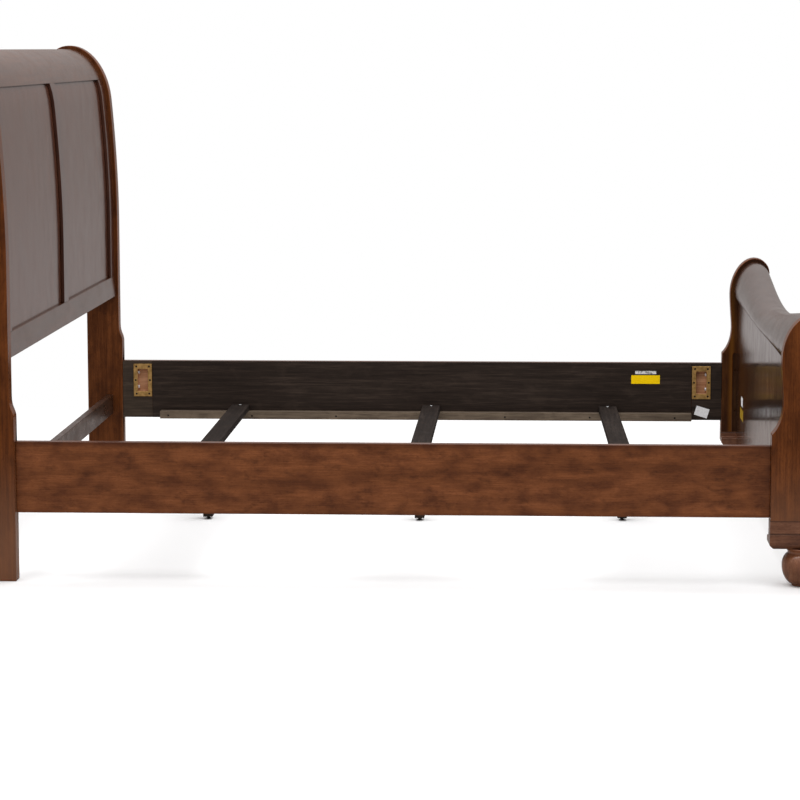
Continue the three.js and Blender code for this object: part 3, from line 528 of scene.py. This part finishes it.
# hardware
metalEdges = {"plate": 0.0007, "bolt": 0.0006, "leveller": 0.0004}  # radius of the worn edges, metres
for sideName in sides:
    for endName in ends:
        nodeName = f"rail_plate_{endName}_{sideName}"
        piece = copyOf(nodeName, nodeName + "_pressed")
        softenEdges(piece, metalEdges["plate"])
        finishPiece(piece, [nodeName], brassPlate)
        for level in ("lower", "upper"):
            nodeName = f"bed_bolt_{endName}_{sideName}_{level}"
            piece = copyOf(nodeName, nodeName + "_rolled")
            softenEdges(piece, metalEdges["bolt"])
            finishPiece(piece, [nodeName], zincPlate)
        nodes[f"post_plate_{endName}_{sideName}"].data.materials.clear()
        nodes[f"post_plate_{endName}_{sideName}"].data.materials.append(zincPlate)
    hanger = nodes["bun_foot_hanger_bolt_" + sideName]
    hanger.data.materials.clear()
    hanger.data.materials.append(zincPlate)
for slatName in slatNames:
    insert = nodes["leg_insert_" + slatName]
    insert.data.materials.clear()
    insert.data.materials.append(zincPlate)
    for nodeName, material in (("leveller_stem_", blackZinc), ("leveller_pad_", blackNylon)):
        nodeName += slatName
        piece = copyOf(nodeName, nodeName + "_finished")
        softenEdges(piece, metalEdges["leveller"])
        finishPiece(piece, [nodeName], material, body=nodeName)

screwShape = {"radius": 0.0042, "thick": 0.0016, "crown": 0.0006, "slotLong": 0.0048, "slotWide": 0.001,
    "slotDeep": 0.001}


def makeScrewHead(shape):  # one cross-recess head lying on Z = 0, top upwards
    deselectAll()
    bpy.ops.mesh.primitive_cylinder_add(
        vertices=28, radius=shape["radius"], depth=shape["thick"], location=(0, 0, shape["thick"] / 2))
    head = bpy.context.object
    bpy.ops.object.mode_set(mode="EDIT")
    bpy.ops.mesh.select_all(action="DESELECT")
    bpy.ops.object.mode_set(mode="OBJECT")
    for face in head.data.polygons:
        face.select = face.normal.z > 0.9
    bpy.context.tool_settings.mesh_select_mode = (False, False, True)
    bpy.ops.object.mode_set(mode="EDIT")
    bpy.ops.mesh.bevel(offset=shape["crown"], segments=3, affect="EDGES")
    bpy.ops.object.mode_set(mode="OBJECT")
    for turn in (0, 90):
        deselectAll()
        bpy.ops.mesh.primitive_cube_add(
            size=1, location=(0, 0, shape["thick"]), rotation=(0, 0, math.radians(turn)),
            scale=(shape["slotLong"], shape["slotWide"], 2 * shape["slotDeep"]))
        cutter = bpy.context.object
        settle(cutter)
        applyModifier(head, "BOOLEAN", {"operation": "DIFFERENCE", "object": cutter, "solver": "EXACT"})
        bpy.data.objects.remove(cutter)
    settle(head)
    bpy.ops.object.shade_smooth_by_angle(angle=math.radians(40))
    return head


screwHead = makeScrewHead(screwShape)


def driveScrews(name, places, direction, material,
    size=1.0):  # places are the undersides of the heads
    up = Vector((0, 0, 1))
    screws = []
    for i, place in enumerate(places):
        screw = screwHead.copy()
        screw.data = screwHead.data.copy()
        bpy.context.scene.collection.objects.link(screw)
        spin = Matrix.Rotation(math.radians(37 * i % 90), 4, "Z")
        lean = up.rotation_difference(Vector(direction)).to_matrix().to_4x4()
        screw.data.transform(Matrix.Translation(place) @ lean @ spin @ Matrix.Scale(size, 4))
        screws.append(screw)
    deselectAll()
    for screw in screws:
        screw.select_set(True)
    bpy.context.view_layer.objects.active = screws[0]
    bpy.ops.object.join()
    joined = bpy.context.object
    joined.name = name
    finishPiece(joined, [], material)
    return joined


plateScrews = {"insetZ": 0.0092, "middleX": 0.0068, "cornerX": 0.0098, "sink": 0.0012, "size": 0.85}
cleatScrews = {
    "fromHeadEnd": 0.0285, "fromFootEnd": 0.0575, "count": 7, "sink": 0.007, "drop": 0.002, "size": 0.72}
for sideName, side in sides.items():
    for endName in ends:
        low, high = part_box(f"rail_plate_{endName}_{sideName}")
        face = low.y if side > 0 else high.y
        middle = (low + high) / 2
        rows = (
            (high.z - plateScrews["insetZ"], plateScrews["cornerX"]),
            (middle.z, plateScrews["middleX"]),
            (low.z + plateScrews["insetZ"], plateScrews["cornerX"]))
        places = []
        for z, inset in rows:
            places += [(low.x + inset, face + side * plateScrews["sink"], z),
                       (high.x - inset, face + side * plateScrews["sink"], z)]
        driveScrews(f"plate_screws_{endName}_{sideName}", places, (0, -side, 0), blackZinc,
                    plateScrews["size"])
    low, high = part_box("slat_cleat_" + sideName)
    face = low.y if side > 0 else high.y
    first = low.x + cleatScrews["fromHeadEnd"]
    pitch = (high.x - cleatScrews["fromFootEnd"] - first) / (cleatScrews["count"] - 1)
    depth = face + side * cleatScrews["sink"]
    height = (low.z + high.z) / 2 - cleatScrews["drop"]
    places = [(first + i * pitch, depth, height) for i in range(cleatScrews["count"])]
    driveScrews("cleat_screws_" + sideName, places, (0, -side, 0), blackZinc,
                cleatScrews["size"])
slatScrews = {"fromEnd": 0.016, "sink": 0.0004, "size": 1.1}
for slatName in slatNames:
    low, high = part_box("slat_" + slatName)
    corners = [corner.co for corner in nodes["slat_" + slatName].data.vertices]
    places = []
    for endY, inwards in ((low.y, 1), (high.y, -1)):
        endX = [corner.x for corner in corners if abs(corner.y - endY) < 0.001]
        middleX = (min(endX) + max(endX)) / 2
        places.append((middleX, endY + inwards * slatScrews["fromEnd"], high.z - slatScrews["sink"]))
    driveScrews("slat_screws_" + slatName, places, (0, 0, 1), zincPlate,
                slatScrews["size"])
bpy.data.objects.remove(screwHead)
print("screws driven")

# paper labels
sheetShape = {"thick": 0.00015, "curl": 1.2, "cuts": 10}  # curl in degrees
labels = {  # centre, size along and up the face, tilt, turn about the vertical, paper
    "label_yellow": ((0.8088, 0.98265, 0.3308), (0.0985, 0.0296), 0, 0, yellowPaper),
    "label_strip": ((0.8093, 0.98265, 0.3551), (0.0735, 0.0112), 0, 0, greyedPaper),
    "label_white": ((1.0038, 0.98385, 0.2184), (0.0463, 0.0328), 17.5, 0, whitePaper),
    "tag_white": ((1.12165, 0.7190, 0.2885), (0.068, 0.031), 0, 90, whitePaper),
    "tag_yellow": ((1.12165, 0.7250, 0.245), (0.130, 0.036), 0, 90, shadedYellowPaper),
}
for name, (centre, size, tilt, turn, paper) in labels.items():
    deselectAll()
    bpy.ops.mesh.primitive_plane_add(size=1, location=(0, 0, 0))
    sheet = bpy.context.object
    sheet.name = name
    sheet.data.transform(Matrix.Diagonal((size[0], size[1], 1, 1)))
    bpy.ops.object.mode_set(mode="EDIT")
    bpy.ops.mesh.select_all(action="SELECT")
    bpy.ops.mesh.subdivide(number_cuts=sheetShape["cuts"])
    bpy.ops.object.mode_set(mode="OBJECT")
    applyModifier(sheet, "SIMPLE_DEFORM", {
        "deform_method": "BEND", "deform_axis": "Y", "angle": math.radians(sheetShape["curl"])})
    applyModifier(sheet, "SOLIDIFY", {"thickness": sheetShape["thick"], "offset": 0})
    upright = Matrix.Rotation(math.radians(90), 4, "X") @ Matrix.Rotation(math.radians(-tilt), 4, "Z")
    facing = Matrix.Rotation(math.radians(-turn), 4, "Z")
    sheet.data.transform(Matrix.Translation(centre) @ facing @ upright)
    bpy.ops.object.shade_smooth_by_angle(angle=math.radians(40))
    finishPiece(sheet, [], paper)
print("labels stuck on")

# studio
studio = {
    "lowest": "#7d7978", "lower": "#8a8584", "surround": "#7a7674", "horizon": "#827c7a",
    "overhead": "#b3b1b0", "softbox": (5.2, 4.2), "softboxHeight": 3.6, "softboxPower": 170,
    "floorColour": "#f7f8f9", "floorBounce": "#d2d0cc", "floorMirrored": "#9a9390",
    "floorLow": (-7.0, -9.5), "floorHigh": (7.0, 2.6),
}
deselectAll()
bpy.ops.mesh.primitive_plane_add(size=1, location=(0, 0, 0))
floor = bpy.context.object
floor.name = "studio_floor"
(lowX, lowY), (highX, highY) = studio["floorLow"], studio["floorHigh"]
floor.data.transform(Matrix.Translation(((lowX + highX) / 2, (lowY + highY) / 2, -0.0005))
                     @ Matrix.Diagonal((highX - lowX, highY - lowY, 1, 1)))
floorPaint, floorTree, floorShader = newMaterial("studioPaper")
# the floor is pale where it is looked at, and quieter in the bed's reflections
floorSeen = addNode(floorTree, "ShaderNodeLightPath")
floorTone = addNode(floorTree, "ShaderNodeMix", {
    "data_type": "RGBA", 6: linear(studio["floorBounce"]), 7: linear(studio["floorMirrored"])}, {
    0: floorSeen.outputs["Is Glossy Ray"]})
floorTone = addNode(floorTree, "ShaderNodeMix", {"data_type": "RGBA", 7: linear(studio["floorColour"])}, {
    0: floorSeen.outputs["Is Camera Ray"], 6: floorTone.outputs[2]})
floorTree.links.new(floorTone.outputs[2], floorShader.inputs["Base Color"])
floorShader.inputs["Roughness"].default_value = 0.9
floorShader.inputs["Specular IOR Level"].default_value = 0.1
floor.data.materials.append(floorPaint)

world = bpy.context.scene.world or bpy.data.worlds.new("studio")
bpy.context.scene.world = world
world.use_nodes = True
sky = world.node_tree
sky.nodes.clear()
direction = addNode(sky, "ShaderNodeTexCoord").outputs["Generated"]
parts = addNode(sky, "ShaderNodeSeparateXYZ", {}, {"Vector": direction})
rise = addNode(sky, "ShaderNodeMapRange", {"From Min": -1, "From Max": 1, "To Min": 0, "To Max": 1}, {
    "Value": parts.outputs["Z"]})
glow = addNode(sky, "ShaderNodeValToRGB", {"stops": [
    (0.0, studio["lowest"]), (0.435, studio["lower"]), (0.495, studio["surround"]),
    (0.56, studio["horizon"]),
    (0.85, studio["overhead"])]}, {"Fac": rise.outputs[0]})
around = addNode(sky, "ShaderNodeBackground", {"Strength": 2.0}, {"Color": glow.outputs["Color"]})
backdrop = addNode(sky, "ShaderNodeBackground", {"Color": (1, 1, 1, 1), "Strength": 1.0})
seen = addNode(sky, "ShaderNodeLightPath")
mixed = addNode(sky, "ShaderNodeMixShader", {}, {
    0: seen.outputs["Is Camera Ray"], 1: around.outputs[0], 2: backdrop.outputs[0]})
addNode(sky, "ShaderNodeOutputWorld", {}, {"Surface": mixed.outputs[0]})

deselectAll()
bpy.ops.object.light_add(type="AREA", location=(0, -0.4, studio["softboxHeight"]))
softbox = bpy.context.object
softbox.name = "softbox"
softbox.data.shape = "RECTANGLE"
softbox.data.size, softbox.data.size_y = studio["softbox"]
softbox.data.energy = studio["softboxPower"]

view = {  # place in metres, turns in degrees, lens in millimetres
    "place": (0.42335, -8.4931, 1.4716), "turn": 2.809, "down": 7.295, "roll": -0.059,
    "lens": 123.73, "sensor": 36, "shift": (-0.0001, -0.00075),
}
bpy.ops.object.camera_add(location=view["place"])
camera = bpy.context.object
camera.name = "view"
aim = Matrix.Rotation(math.radians(view["turn"]), 3, "Z")
aim = aim @ Matrix.Rotation(math.radians(90 - view["down"]), 3, "X")
aim = aim @ Matrix.Rotation(math.radians(view["roll"]), 3, "Z")
camera.rotation_euler = aim.to_euler()
camera.data.lens = view["lens"]
camera.data.sensor_width = view["sensor"]
camera.data.shift_x, camera.data.shift_y = view["shift"]
bpy.context.scene.camera = camera
bpy.context.scene.view_settings.view_transform = "Standard"
print("studio set")
